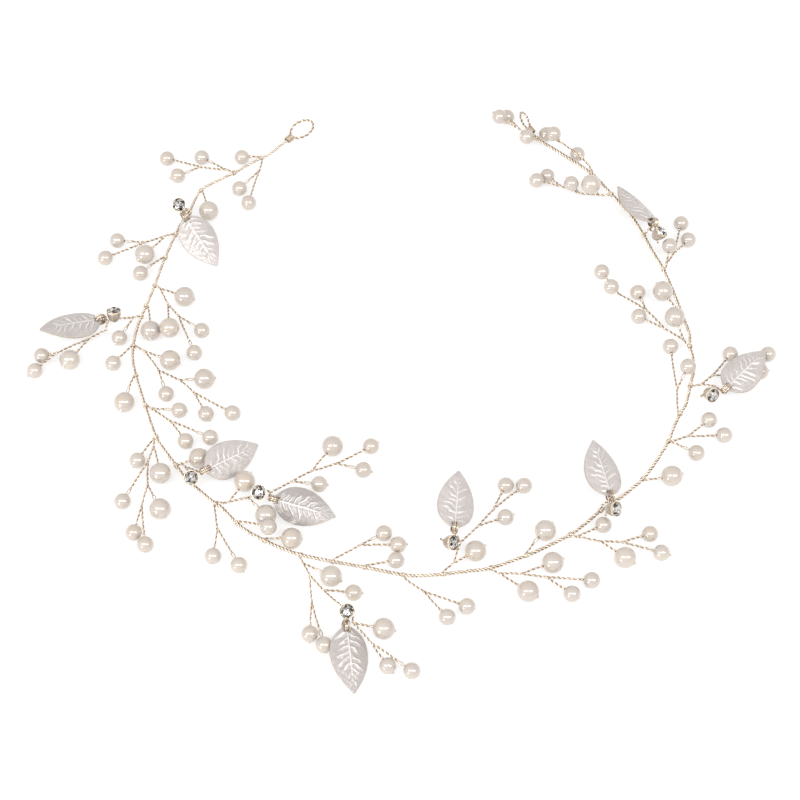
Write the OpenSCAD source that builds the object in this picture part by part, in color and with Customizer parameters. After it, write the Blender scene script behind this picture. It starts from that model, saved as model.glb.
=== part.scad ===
// Hair vine: a stem of twisted wire with sprigs of faux pearls,
// embossed leaves and rhinestones in cups, lying flat. Millimetres.

/* [Stem] */
// Length that one whole step of the stem's route counts
stem_step = 10; // [9.5:0.05:10.5]
// Width over the stem's twisted strands
stem_d = 0.95; // [0.7:0.05:1.1]
// Height of the stem's middle line above the surface it lies on
stem_rise = 2.5; // [2.2:0.1:3]

/* [Twigs] */
// Length that one whole step of a twig counts
twig_l = 10; // [9.5:0.05:10.5]
// Width over a twig's twisted pair of strands
twig_d = 0.5; // [0.4:0.02:0.56]
// Turns of a twig round the stem
wrap_turns = 2; // [1:1:3]
// Pitch of those turns as a share of the twig's width
wrap_pitch = 0.9; // [0.8:0.02:0.96]
// Gap between a wrap and the wire inside it
wrap_gap = 0.12; // [0.08:0.01:0.2]
// Bound eye of wire where a twig forks, across
eye_d = 0.8; // [0.7:0.05:1.1]
// Width of the knot beyond a pearl
knot_d = 0.84; // [0.76:0.02:1]

/* [Pearls] */
// Small pearl
pearl_small_d = 4.25; // [3.8:0.05:4.35]
// Large pearl
pearl_large_d = 5.5; // [5:0.1:5.6]
// Gap between a pearl's drilling and its wire
pearl_gap = 0.12; // [0.08:0.01:0.2]

/* [Leaves] */
// Leaf from base to tip
leaf_l = 16.8; // [15.5:0.1:17.6]
// Leaf across its widest place
leaf_w = 9.8; // [9:0.1:10.2]
// Leaf sheet
leaf_t = 0.6; // [0.5:0.05:0.8]
// Height of the raised veins
vein_h = 0.3; // [0.1:0.02:0.4]
// Side veins on each half of a leaf
vein_count = 7; // [5:1:8]
// Sag of a leaf's long edges below its midrib
leaf_sag = 0.9; // [0.4:0.1:1.2]
// Middle radius of the tie that holds a leaf
tie_r = 1.35; // [1.25:0.05:1.5]
// Turns of wire in a tie
tie_turns = 3; // [2:1:4]
// Gap between a tie and the leaf
tie_gap = 0.12; // [0.08:0.01:0.2]

/* [Rhinestones] */
// Stone across its girdle
stone_d = 3.4; // [3.2:0.05:3.5]
// Stone above its girdle
crown_h = 0.6; // [0.4:0.05:0.8]
// Stone below its girdle
pavilion_h = 1.5; // [1.2:0.05:1.6]
// Table's share of the girdle
table_share = 0.58; // [0.5:0.02:0.66]
// Gap round a stone in its cup
stone_gap = 0.1; // [0.08:0.01:0.16]
// Wall of the cup at its rim
cup_wall = 0.18; // [0.15:0.01:0.25]
// Cup from foot to rim
cup_h = 3.4; // [3.3:0.05:3.6]
// Cup's foot across
cup_foot_d = 1.2; // [1.1:0.1:1.4]
// Height of the cup's cross drilling above its foot
cup_drill_z = 0.6; // [0.5:0.02:0.7]

/* [End loops] */
// Wire of the end loops
loop_wire_d = 0.8; // [0.6:0.05:0.9]
// Left loop along the stem, wire middle to wire middle
loop_left_l = 7.6; // [7:0.1:8.2]
// Left loop across
loop_left_w = 5.2; // [4.8:0.1:5.6]
// Right loop along the stem
loop_right_l = 5; // [4.6:0.1:5.4]
// Right loop across, standing up
loop_right_w = 5; // [4.4:0.1:5.2]
// Length of the sleeve that a loop's tails make round the stem
sleeve_l = 2.2; // [1.8:0.1:2.6]
// Wall of that sleeve
sleeve_t = 0.5; // [0.4:0.02:0.6]

/* [Hidden] */

// Places the middle of the whole piece over the origin.
home = [-0.075 * stem_step, 0, 0];

// Route of the stem from the left end to the right end, in steps of stem_step.
// Columns: x, y.
ROUTE = [
  [-3.15, 7.93], [-3.45, 7.63], [-3.73, 7.34], [-3.97, 7.20], [-4.35, 6.94], [-4.72, 6.67],
  [-5.20, 6.38], [-5.63, 6.06], [-5.84, 5.55], [-5.92, 5.26], [-6.13, 4.90], [-6.26, 4.54],
  [-6.50, 3.76], [-6.63, 3.25], [-6.73, 2.83], [-6.92, 2.16], [-7.03, 1.82], [-7.14, 1.32],
  [-7.18, 0.88], [-7.16, 0.43], [-7.04, -0.05], [-6.90, -0.48], [-6.73, -0.98], [-6.38, -1.92],
  [-6.10, -2.36], [-5.80, -2.77], [-5.53, -3.15], [-5.13, -3.52], [-4.73, -3.87], [-4.56, -3.99],
  [-4.16, -4.42], [-3.83, -4.69], [-3.44, -4.91], [-3.00, -5.13], [-2.52, -5.31], [-1.70, -5.50],
  [-0.89, -5.66], [0.08, -5.87], [0.56, -5.89], [1.08, -5.85], [1.70, -5.77], [2.29, -5.68],
  [3.20, -5.33], [3.75, -5.07], [4.33, -4.75], [4.75, -4.42], [5.14, -4.07], [5.60, -3.75],
  [5.94, -3.47], [6.28, -3.15], [6.66, -2.64], [7.03, -2.03], [7.14, -1.74], [7.38, -1.23],
  [7.56, -0.93], [7.72, -0.36], [7.85, 0.12], [7.86, 0.50], [7.81, 0.87], [7.82, 1.28],
  [7.66, 1.95], [7.50, 2.60], [7.27, 3.36], [7.03, 3.92], [6.80, 4.51], [6.50, 5.17],
  [6.20, 5.62], [5.98, 5.93], [5.73, 6.30], [5.45, 6.66], [4.98, 7.07], [4.50, 7.46],
  [3.95, 7.90], [3.76, 8.23]];

// What a row of a sprig ends in.
fork = 0;
small = 1;
large = 2;
cup = 3;
tie = 4;

// Sprigs, in steps of twig_l from the place on the stem where each is wrapped.
// Columns: place in ROUTE, rows; a row's columns: row it starts from (-1 the stem), x, y,
// height above the surface (for a pearl, lift above the height it rests at), end.
SPRIGS = [
  [3, [[-1, -0.56, 0.06, 0, small], [-1, -0.03, -0.43, 0.25, fork],
       [1, -0.58, -1.05, 0, small], [1, -0.30, -1.55, 0, small]]],
  [5, [[-1, -0.23, 0.11, 0.25, fork], [0, -0.96, 0.58, 0, small], [0, -0.98, 0.21, 0.25, fork],
       [2, -1.61, -0.07, 0, small], [2, -1.95, 0.54, 0, small]]],
  [9, [[-1, -0.03, 0.02, 0.40, fork], [0, -0.15, -0.22, 0.58, tie], [0, -0.26, 0.18, 0.36, cup]]],
  [11, [[-1, -0.27, -0.04, 0.25, fork], [0, -0.81, -0.69, 0, large], [0, -0.84, -0.27, 0.25, fork],
        [2, -1.62, -0.18, 0, small], [2, -1.91, -0.77, 0, small]]],
  [14, [[-1, 0.15, -0.10, 0.25, fork], [0, 0.84, -0.38, 0, large], [0, 0.40, -0.61, 0.25, fork],
        [2, 0.52, -1.52, 0.21, large], [2, 0.72, -1.03, 0.30, fork], [4, 1.36, -1.43, 0, small],
        [4, 1.20, -2.14, 0, small]]],
  [16, [[-1, -0.21, -0.04, 0.28, fork], [0, -0.55, -0.66, 0, small], [0, -0.69, -0.22, 0.44, cup],
        [2, -0.92, -0.47, 0.30, fork], [2, -0.95, -0.13, 0.36, tie], [3, -1.37, -0.72, 0.25, fork],
        [5, -1.82, -1.39, 0, large], [5, -2.20, -1.20, 0.30, fork], [7, -2.60, -1.22, 0, small],
        [7, -2.74, -1.69, 0, small]]],
  [18, [[-1, -0.51, -0.52, 0, small], [-1, 0.29, -0.15, 0.25, fork], [1, 1.02, -0.46, 0, large],
        [1, 0.73, -0.76, 0.25, fork], [3, 0.97, -1.47, 0, small], [3, 1.30, -1.06, 0.25, fork],
        [5, 1.97, -1.04, 0, large], [5, 1.70, -1.44, 0.25, fork], [7, 2.06, -2.08, 0, small],
        [7, 2.76, -2.05, 0, small]]],
  [22, [[-1, 0.13, -0.06, 0.25, fork], [0, 0.90, -0.11, 0, small], [0, 0.67, -0.45, 0.25, fork],
        [2, 1.12, -1.04, 0, small], [2, 1.76, -0.93, 0, small]]],
  [23, [[-1, -0.45, -0.67, 0, small], [-1, -0.05, -0.28, 0.25, fork], [1, 0.18, -1.08, 0, large],
        [1, -0.16, -0.71, 0.25, fork], [3, -0.75, -1.86, 0, small], [3, -0.13, -1.41, 0.25, fork],
        [5, 0.24, -2.11, 0, large], [5, -0.24, -2.00, 0.25, fork], [7, -0.40, -2.75, 0, small],
        [7, -0.08, -3.09, 0, small]]],
  [25, [[-1, 0.12, 0.07, 0.25, fork], [0, 0.58, 0.20, 0, large], [0, 0.25, -0.13, 0.46, fork],
        [2, 0.38, -0.47, 0.49, cup], [2, 0.70, -0.42, 0.68, tie]]],
  [28, [[-1, 0.07, -0.68, 0.25, fork], [0, 0.00, -1.46, 0, small], [0, 0.67, -1.71, 0, small],
        [-1, 0.21, -0.03, 0.34, fork], [3, 0.34, 0.02, 0.30, fork], [4, 0.73, 0.58, 0.10, large],
        [4, 0.83, 0.14, 0.32, fork], [6, 1.30, -0.34, 0, large], [6, 1.10, 0.25, 0.38, cup],
        [8, 1.41, 0.25, 0.40, fork], [9, 1.38, 0.08, 0.43, tie], [9, 1.94, 0.59, 0.35, fork],
        [11, 2.65, 0.48, 0.20, small], [11, 2.45, 0.92, 0.30, fork], [13, 2.97, 1.67, 0, large],
        [13, 3.09, 1.17, 0.25, fork], [15, 3.97, 1.70, 0, small], [15, 3.78, 1.00, 0, small]]],
  [34, [[-1, 0.08, -0.24, 0.25, fork], [0, 0.79, -0.61, 0, large], [0, 0.25, -0.58, 0.28, fork],
        [2, 0.32, -1.29, 0.25, fork], [3, 0.29, -2.14, 0, small], [3, 0.65, -2.43, 0, small],
        [2, 0.61, -1.01, 0.32, fork], [6, 1.36, -1.03, 0, small], [6, 1.22, -1.61, 0.46, cup],
        [8, 1.18, -1.88, 0.42, tie], [8, 1.36, -1.98, 0.54, fork], [10, 2.12, -2.07, 0.10, large],
        [10, 1.82, -2.50, 0.50, fork], [12, 2.22, -2.98, 0, small], [12, 2.81, -3.11, 0, small]]],
  [35, [[-1, 0.67, 0.45, 0.25, fork], [0, 1.29, 0.81, 0, small], [0, 1.65, 0.49, 0, small]]],
  [37, [[-1, 0.52, -0.46, 0.25, fork], [0, 1.09, -1.13, 0, small], [0, 1.59, -0.84, 0, small]]],
  [39, [[-1, 0.27, 0.30, 0.25, fork], [0, 0.83, 0.63, 0, large], [0, 0.40, 0.72, 0.30, fork],
        [2, 0.08, 0.78, 0.48, cup], [2, 0.45, 0.85, 0.32, fork], [4, 0.30, 1.10, 0.40, tie],
        [4, 0.90, 1.32, 0.28, fork], [6, 1.62, 1.61, 0, small], [6, 1.30, 1.80, 0.25, fork],
        [8, 1.65, 2.53, 0, small], [8, 2.12, 2.52, 0, small]]],
  [41, [[-1, 0.21, -0.15, 0.25, fork], [0, 0.91, -0.65, 0, large], [0, 0.77, -0.16, 0.25, fork],
        [2, 1.56, 0.14, 0, large], [2, 1.39, -0.25, 0.25, fork], [4, 2.01, -0.69, 0, small],
        [4, 2.52, -0.32, 0, small]]],
  [44, [[-1, 0.17, -0.05, 0.25, fork], [0, 0.86, 0.29, 0, small], [0, 0.76, -0.19, 0.25, fork],
        [2, 1.35, -0.65, 0, large], [2, 1.30, -0.21, 0.25, fork], [4, 2.03, 0.04, 0, small],
        [4, 2.29, -0.49, 0, small]]],
  [46, [[-1, 0.03, 0.10, 0.38, fork], [0, 0.20, 0.15, 0.51, fork], [1, 0.16, -0.08, 0.53, cup],
        [1, 0.28, 0.18, 0.48, tie]]],
  [51, [[-1, 0.70, -0.34, 0, small], [-1, 0.51, 0.14, 0.25, fork], [1, 1.11, 0.65, 0, small],
        [1, 1.47, 0.19, 0, small]]],
  [53, [[-1, -0.02, 0.77, 0.25, fork], [0, -0.09, 2.12, 0, small], [0, 0.29, 1.34, 0.25, small]]],
  [55, [[-1, 0.30, 0.01, 0.30, fork], [0, 0.61, 0.30, 0.28, fork], [1, 1.16, 1.01, 0, small],
        [1, 1.13, 0.36, 0.20, fork], [3, 2.17, 1.01, 0, small], [3, 1.92, 0.46, 0, small],
        [0, 0.60, -0.16, 0.50, fork], [6, 0.77, -0.40, 0.63, tie], [6, 0.38, -0.34, 0.49, cup]]],
  [58, [[-1, -0.15, 0.19, 0.26, fork], [0, -0.38, 0.79, 0.20, large], [0, -0.63, 0.55, 0.25, fork],
        [2, -1.31, 0.98, 0, small], [2, -1.11, 1.10, 0.34, fork], [4, -1.29, 1.76, 0, small],
        [4, -1.81, 1.71, 0.20, fork], [6, -2.04, 1.78, 0.25, small], [6, -2.24, 2.44, 0, small]]],
  [62, [[-1, 0.08, 0.14, 0.28, fork], [0, 0.19, 0.66, 0.23, small], [0, 0.33, 0.54, 0.25, fork],
        [2, 0.61, 1.58, 0, small], [2, 0.77, 1.02, 0, small]]],
  [64, [[-1, 0.14, 0.09, 0.44, fork], [0, 0.30, 0.07, 0.62, tie], [0, 0.27, -0.24, 0.50, cup]]],
  [67, [[-1, -0.35, -0.01, 0.22, fork], [0, -0.60, 0.13, 0.25, large], [0, -0.90, 0.06, 0.20, fork],
        [2, -1.14, 0.21, 0.25, small], [2, -1.40, 0.30, 0.20, fork], [4, -1.79, 0.66, 0, small],
        [4, -2.11, 0.39, 0.15, small]]],
  [69, [[-1, -0.09, 0.29, 0.30, fork], [0, -0.36, 0.71, 0, small], [0, -0.32, 0.46, 0.46, fork],
        [2, -0.79, 0.94, 0.40, fork], [3, -1.05, 1.17, 0.35, small], [3, -1.23, 1.43, 0, small]]],
  [72, [[-1, -0.31, -0.08, 0.22, small], [-1, -0.49, 0.33, 0.25, fork], [1, -0.84, 0.83, 0, small],
        [1, -1.08, 0.59, 0.30, small]]]];

// Twigs with one pearl each, the same columns.
SINGLES = [
  [7, [[-1, 0.25, -0.73, 0, large]]],
  [12, [[-1, -0.66, -0.50, 0, small]]],
  [15, [[-1, 0.18, -0.81, 0, large]]],
  [20, [[-1, -0.25, -0.83, 0, large]]],
  [30, [[-1, 0.83, -0.23, 0.28, small]]],
  [32, [[-1, 0.69, 0.04, 0, large]]],
  [36, [[-1, 0.79, 0.21, 0, small]]],
  [42, [[-1, 0.50, 0.69, 0, large]]],
  [49, [[-1, 0.75, 0.07, 0, large]]],
  [60, [[-1, -0.49, 0.58, 0.15, large]]]];

// Leaves. Columns: sprig, row of its tie, heading, rise to the tip, roll (degrees).
LEAVES = [
  [2, 1, -56, -13, 10], [5, 4, 201, 16, 12], [9, 4, 37, -14, 27], [10, 10, -21, 7, 25],
  [11, 9, -82, -7, -16], [14, 5, 85, -2, 15], [17, 3, 102, 0, 15], [20, 7, 46, -2, 4],
  [23, 1, 120, -7, 33]];

// Cups. Columns: sprig, row, heading and height of the stone's face (degrees).
CUPS = [
  [2, 2, -90, 60], [5, 2, 90, 60], [9, 3, -58, 56], [10, 8, -77, 64], [11, 8, -90, 60],
  [14, 3, -27, 38], [17, 2, -27, 38], [20, 8, -57, 34], [23, 2, 22, 48]];

// Outline of a leaf. Columns: share of its length, share of its half width.
LEAF_OUTLINE = [[0, 0.16], [0.04, 0.36], [0.09, 0.58], [0.16, 0.79], [0.26, 0.94], [0.4, 1],
  [0.55, 0.94], [0.7, 0.76], [0.84, 0.48], [0.94, 0.22], [1, 0.05]];

wrap_r = stem_d / 2 + wrap_gap + twig_d / 2;
wrap_out = wrap_r + 0.3 * twig_d;
eye_h = 1.24 * twig_d;
hole_d = twig_d + 2 * pearl_gap;
knot_gap = 0.1;
girdle_r = stone_d / 2;
rim_r = girdle_r + stone_gap + cup_wall;
foot_share = cup_foot_d / 2 / rim_r;
cup_out = bowl_r(cup_drill_z + knot_d / 4) + knot_d / 2 + 0.06;
loop_past = loop_wire_d / 2 + 0.25;
sleeve_past = 0.6;
stem_sides = 10;
loop_sides = 8;
loop_rings = 24;
vein_slant = 0.13;
tip_drop = 0.03 * leaf_l;
across_shares = [-1, -0.66, -0.33, -0.1, 0, 0.1, 0.33, 0.66, 1];
leaf_lines = 2 * vein_count + 3;
last = len(ROUTE) - 1;
TWIGS = concat(SPRIGS, SINGLES);
$fn = 32;

function unit(v) = v / norm(v);
function across(v, n) = v - (v * n) * n;
function facing(az, el) = [cos(az) * cos(el), sin(az) * cos(el), sin(el)];

// Places on the stem.
function stem_at(k) = home + [ROUTE[k][0] * stem_step, ROUTE[k][1] * stem_step, stem_rise];
function stem_dir(k) = unit(stem_at(min(k + 1, last)) - stem_at(max(k - 1, 0)));

// Places on sprig q: its row i, the place that row starts from, its direction.
function is_pearl(end) = end == small || end == large;
function pearl_r(end) = (end == large ? pearl_large_d : pearl_small_d) / 2;
function foot(q) = stem_at(TWIGS[q][0]);
function row(q, i) = TWIGS[q][1][i];
function rows(q) = [0 : len(TWIGS[q][1]) - 1];
function rest_h(end) = is_pearl(end) ? pearl_r(end) : 0;
function row_at(q, i) = let (r = row(q, i))
  [foot(q)[0] + r[1] * twig_l, foot(q)[1] + r[2] * twig_l, rest_h(r[4]) + r[3] * twig_l];
function start_at(q, i) = let (j = row(q, i)[0])
  j < 0 ? foot(q) + wrap_out * unit(across(row_at(q, i) - foot(q), stem_dir(TWIGS[q][0])))
  : row(q, j)[4] == cup ? row_at(q, j) + cup_out * cup_dir(q, j) : row_at(q, j);
function row_dir(q, i) = unit(row_at(q, i) - start_at(q, i));
function goes_on(q, i) = len([for (r = TWIGS[q][1]) if (r[0] == i) i]) > 0;

// Cups: the way the face looks, and the way the wire runs through the foot.
function cup_face(q, i) = [for (c = CUPS) if (c[0] == q && c[1] == i) facing(c[2], c[3])][0];
function cup_dir(q, i) = unit(across(row_dir(q, i), cup_face(q, i)));
function bowl_r(z) = rim_r * sqrt(1 - pow(1 - z / cup_h, 2) * (1 - foot_share * foot_share));

// Pearls: the way from the middle to the knots at the drilling's two mouths.
function knot_at(end) = sqrt(pow(pearl_r(end), 2) - pow(hole_d / 2, 2))
  + sqrt(pow(knot_d / 2 + knot_gap, 2) - pow(hole_d / 2, 2));

// Leaves: the base of a leaf is the middle of its tie.
function leaf_axis(n) = facing(LEAVES[n][2], LEAVES[n][3]);
function leaf_base(n) = row_at(LEAVES[n][0], LEAVES[n][1]) + tie_r * leaf_axis(n);

module rod(from, to, d) {
  v = to - from;
  translate(from) rotate([0, acos(v[2] / norm(v)), atan2(v[1], v[0])]) cylinder(d = d, h = norm(v));
}

// Bound eye of wire at a fork.
module eye(at) {
  translate(at) cylinder(d = eye_d, h = eye_h, center = true);
}

// Places the children's +Z along v.
module turned(at, v) {
  translate(at) rotate([0, acos(v[2]), atan2(v[1], v[0])]) children();
}

// Turns of wire side by side round the children's Z.
module turns(r, count) {
  pitch = wrap_pitch * twig_d;
  rotate_extrude()
    for (i = [0 : count - 1]) translate([r, (i - (count - 1) / 2) * pitch]) circle(d = twig_d);
}

// Solid through rings of points, each ring anticlockwise seen from the next one.
module skin(rings, closed = false) {
  sides = len(rings[0]);
  count = len(rings);
  spans = closed ? count : count - 1;
  walls = [for (k = [0 : spans - 1]) for (j = [0 : sides - 1])
    let (a = k * sides, b = (k + 1) % count * sides, i = (j + 1) % sides)
    each [[b + i, a + i, a + j], [b + i, a + j, b + j]]];
  ends = closed ? [] : [[for (j = [0 : sides - 1]) j],
    [for (j = [0 : sides - 1]) count * sides - 1 - j]];
  polyhedron(points = [for (ring = rings) each ring], faces = concat(walls, ends));
}

function ring(at, dir, r, sides) = let (up = [0, 0, 1], side = unit(cross(up, dir)))
  [for (j = [0 : sides - 1]) at + r * (cos(360 * j / sides) * side + sin(360 * j / sides) * up)];

module stem() {
  color("#cdbd9c") skin([for (k = [0 : last]) ring(stem_at(k), stem_dir(k), stem_d / 2, stem_sides)]);
}

// Oval of wire in the XY plane, l along X.
module oval(l, w) {
  skin([for (k = [0 : loop_rings - 1])
    let (c = cos(360 * k / loop_rings), s = sin(360 * k / loop_rings), out = unit([w * c, l * s, 0]))
    [for (j = [0 : loop_sides - 1]) let (a = 360 * j / loop_sides)
      [l / 2 * c, w / 2 * s, 0] + loop_wire_d / 2 * (cos(a) * -out + sin(a) * [0, 0, 1])]],
    closed = true);
}

// Tube that the loop's tails make round the stem's end k; out looks off the end.
module sleeve(k, out) {
  tail = stem_at(k) + (sleeve_past - sleeve_l) * out;
  difference() {
    rod(tail, tail + sleeve_l * out, stem_d + 2 * wrap_gap + 2 * sleeve_t);
    rod(tail - out, tail + (sleeve_l + 1) * out, stem_d + 2 * wrap_gap);
  }
}

module end_loop_left() {
  out = -stem_dir(0);
  color("#d8c8a4") {
    sleeve(0, out);
    translate(stem_at(0) + (loop_past + loop_left_l / 2) * out) rotate(atan2(out[1], out[0]))
      oval(loop_left_l, loop_left_w);
  }
}

module end_loop_right() {
  out = stem_dir(last);
  rise = 0.2 * loop_right_w;
  reach = loop_past + loop_right_l / 2 * sqrt(1 - pow(2 * rise / loop_right_w, 2));
  color("#d8c8a4") {
    sleeve(last, out);
    translate(stem_at(last) + reach * out + [0, 0, rise]) rotate(atan2(out[1], out[0]))
      rotate([90, 0, 0]) oval(loop_right_l, loop_right_w);
  }
}

// Twisted pair from one place to another, with knots at these lengths along it.
module wire(from, to, knots = []) {
  turned(from, unit(to - from)) {
    cylinder(d = twig_d, h = norm(to - from));
    for (k = knots) translate([0, 0, k]) sphere(d = knot_d);
  }
}

// Wire of one row: from its start to its end, through a pearl or a cup to the far side.
module row_wire(q, i) {
  from = start_at(q, i);
  at = row_at(q, i);
  end = row(q, i)[4];
  if (is_pearl(end)) {
    middle = norm(at - from);
    wire(from, at + knot_at(end) * row_dir(q, i), [middle - knot_at(end), middle + knot_at(end)]);
  } else if (end == cup) {
    near = at - cup_out * cup_dir(q, i);
    wire(from, near);
    eye(near);
    wire(near, near + 2 * cup_out * cup_dir(q, i), goes_on(q, i) ? [] : [2 * cup_out]);
    if (goes_on(q, i)) eye(near + 2 * cup_out * cup_dir(q, i));
  } else {
    wire(from, at);
    eye(at);
  }
}

// Turns of the sprig's wire through leaf n.
module leaf_tie(n) {
  at_leaf(n) rotate([90, 0, 0]) turns(tie_r, tie_turns);
}

module sprig(q) {
  color("#d3c39f") {
    turned(foot(q), stem_dir(TWIGS[q][0])) turns(wrap_r, wrap_turns);
    for (i = rows(q)) row_wire(q, i);
    for (i = rows(q)) if (row(q, i)[0] < 0) eye(start_at(q, i));
    for (n = [0 : len(LEAVES) - 1]) if (LEAVES[n][0] == q) leaf_tie(n);
  }
}

module single_twigs() {
  for (q = [len(SPRIGS) : len(TWIGS) - 1]) sprig(q);
}

// Round bead drilled along Z.
module pearl(r) {
  difference() {
    sphere(r = r);
    translate([0, 0, -r - 1]) cylinder(d = hole_d, h = 2 * r + 2);
  }
}

module pearls(end) {
  color("#f1e8de")
    for (q = [0 : len(TWIGS) - 1]) for (i = rows(q)) if (row(q, i)[4] == end)
      turned(row_at(q, i), row_dir(q, i)) pearl(pearl_r(end));
}

module at_leaf(n) {
  translate(leaf_base(n)) rotate([0, 0, LEAVES[n][2]]) rotate([0, -LEAVES[n][3], 0])
    rotate([LEAVES[n][4], 0, 0]) children();
}

// Points of the leaf's upper side (h = 1) and lower side (h = 0), lines along the side veins.
function leaf_pt(i, v, h) =
  let (p = i / leaf_lines, u = p + vein_slant * abs(v) * 4 * p * (1 - p),
    half = leaf_w / 2 * lookup(u, LEAF_OUTLINE), inner = i > 0 && i < leaf_lines,
    rib = v == 0 ? 1.2 : inner && i % 2 == 0 ? 1 - 0.6 * v * v : 0)
  [u * leaf_l, v * half, -leaf_sag * v * v * pow(2 * half / leaf_w, 2) - tip_drop * pow(u, 3)
    + (h == 1 ? vein_h * rib : -leaf_t * (1 - 0.4 * v * v))];

module leaf_sheet() {
  m = len(across_shares);
  n = leaf_lines + 1;
  top = [for (i = [0 : n - 1]) for (v = across_shares) leaf_pt(i, v, 1)];
  low = [for (i = [0 : n - 1]) for (v = across_shares) leaf_pt(i, v, 0)];
  polyhedron(points = concat(top, low), faces = [
    for (i = [0 : n - 2]) for (j = [0 : m - 2]) let (a = i * m + j, b = a + m, c = n * m)
      each [[a, a + 1, b + 1], [a, b + 1, b], [c + a, c + b + 1, c + a + 1],
        [c + a, c + b, c + b + 1]],
    for (i = [0 : n - 2]) let (a = i * m, b = a + m, e = m - 1, c = n * m)
      each [[a, b, c + b], [a, c + b, c + a], [b + e, a + e, c + a + e],
        [b + e, c + a + e, c + b + e]],
    for (j = [0 : m - 2]) let (a = j, b = (n - 1) * m + j, c = n * m)
      each [[a + 1, a, c + a], [a + 1, c + a, c + a + 1], [b, b + 1, c + b + 1],
        [b, c + b + 1, c + b]]]);
}

module leaf(n) {
  slot_w = (tie_turns - 1) * wrap_pitch * twig_d + twig_d + 2 * tie_gap;
  slot_end = tie_r + twig_d / 2 + tie_gap;
  slot_start = sqrt(tie_r * tie_r - leaf_t * leaf_t) - twig_d / 2 - tie_gap;
  color("#dcd8dd") at_leaf(n) difference() {
    leaf_sheet();
    translate([slot_start, -slot_w / 2, -2]) cube([slot_end - slot_start, slot_w, 4]);
  }
}

module cup_with_foot(c) {
  q = CUPS[c][0];
  i = CUPS[c][1];
  dir = cup_dir(q, i);
  at = row_at(q, i);
  color("#d9cfc9") difference() {
    turned(at, cup_face(q, i)) translate([0, 0, -cup_drill_z]) rotate_extrude()
      polygon(concat([[0, 0]],
        [for (z = [0, 0.03, 0.1, 0.22, 0.4, 0.65, 1]) [bowl_r(z * cup_h), z * cup_h]],
        [[girdle_r + stone_gap, cup_h], [girdle_r + stone_gap, cup_h - stone_gap / 2],
          [0, cup_h - pavilion_h - 2 * stone_gap]]));
    rod(at - 3 * dir, at + 3 * dir, hole_d);
  }
}

function corners(count, r, z, first) =
  [for (j = [0 : count - 1]) let (a = 360 * j / count + first) [r * cos(a), r * sin(a), z]];

// Brilliant: table of eight sides, stars, kites and sixteen girdle facets over the pavilion.
module brilliant() {
  table = corners(8, table_share * girdle_r, crown_h, 0);
  star = corners(8, 0.8 * girdle_r, 0.55 * crown_h, 22.5);
  girdle = corners(16, girdle_r, 0, 0);
  main = corners(8, 0.45 * girdle_r, -0.55 * pavilion_h, 22.5);
  polyhedron(points = concat(table, star, girdle, main, [[0, 0, -pavilion_h]]), faces = concat(
    [[for (j = [7 : -1 : 0]) j]],
    [for (j = [0 : 7])
      let (i = (j + 1) % 8, s = 8 + j, t = 8 + i, g = 16 + 2 * j, h = 16 + (2 * j + 2) % 16,
        m = 32 + j, o = 32 + i)
      each [[j, i, s], [i, t, s], [s, g + 1, g], [s, h, g + 1], [s, t, h],
        [m, g, g + 1], [m, g + 1, h], [m, h, o], [m, o, 40]]]));
}

module stone(c) {
  color("#eef1f6") turned(row_at(CUPS[c][0], CUPS[c][1]), cup_face(CUPS[c][0], CUPS[c][1]))
    translate([0, 0, cup_h - cup_drill_z]) brilliant();
}

stem();
end_loop_left();
end_loop_right();
sprig(0);  // sprig_01
sprig(1);  // sprig_02
sprig(2);  // sprig_03
sprig(3);  // sprig_04
sprig(4);  // sprig_05
sprig(5);  // sprig_06
sprig(6);  // sprig_07
sprig(7);  // sprig_08
sprig(8);  // sprig_09
sprig(9);  // sprig_10
sprig(10);  // sprig_11
sprig(11);  // sprig_12
sprig(12);  // sprig_13
sprig(13);  // sprig_14
sprig(14);  // sprig_15
sprig(15);  // sprig_16
sprig(16);  // sprig_17
sprig(17);  // sprig_18
sprig(18);  // sprig_19
sprig(19);  // sprig_20
sprig(20);  // sprig_21
sprig(21);  // sprig_22
sprig(22);  // sprig_23
sprig(23);  // sprig_24
sprig(24);  // sprig_25
sprig(25);  // sprig_26
sprig(26);  // sprig_27
single_twigs();
pearls(small);  // pearls_small
pearls(large);  // pearls_large
leaf(0);  // leaf_1
leaf(1);  // leaf_2
leaf(2);  // leaf_3
leaf(3);  // leaf_4
leaf(4);  // leaf_5
leaf(5);  // leaf_6
leaf(6);  // leaf_7
leaf(7);  // leaf_8
leaf(8);  // leaf_9
cup_with_foot(0);  // cup_1
cup_with_foot(1);  // cup_2
cup_with_foot(2);  // cup_3
cup_with_foot(3);  // cup_4
cup_with_foot(4);  // cup_5
cup_with_foot(5);  // cup_6
cup_with_foot(6);  // cup_7
cup_with_foot(7);  // cup_8
cup_with_foot(8);  // cup_9
stone(0);  // stone_1
stone(1);  // stone_2
stone(2);  // stone_3
stone(3);  // stone_4
stone(4);  // stone_5
stone(5);  // stone_6
stone(6);  // stone_7
stone(7);  // stone_8
stone(8);  // stone_9
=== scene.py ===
"""Looks of the hair vine: wire, pearls, leaves, cups and stones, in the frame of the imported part."""
import math
import random

import bpy
import bmesh
from mathutils import Matrix, Vector


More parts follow.
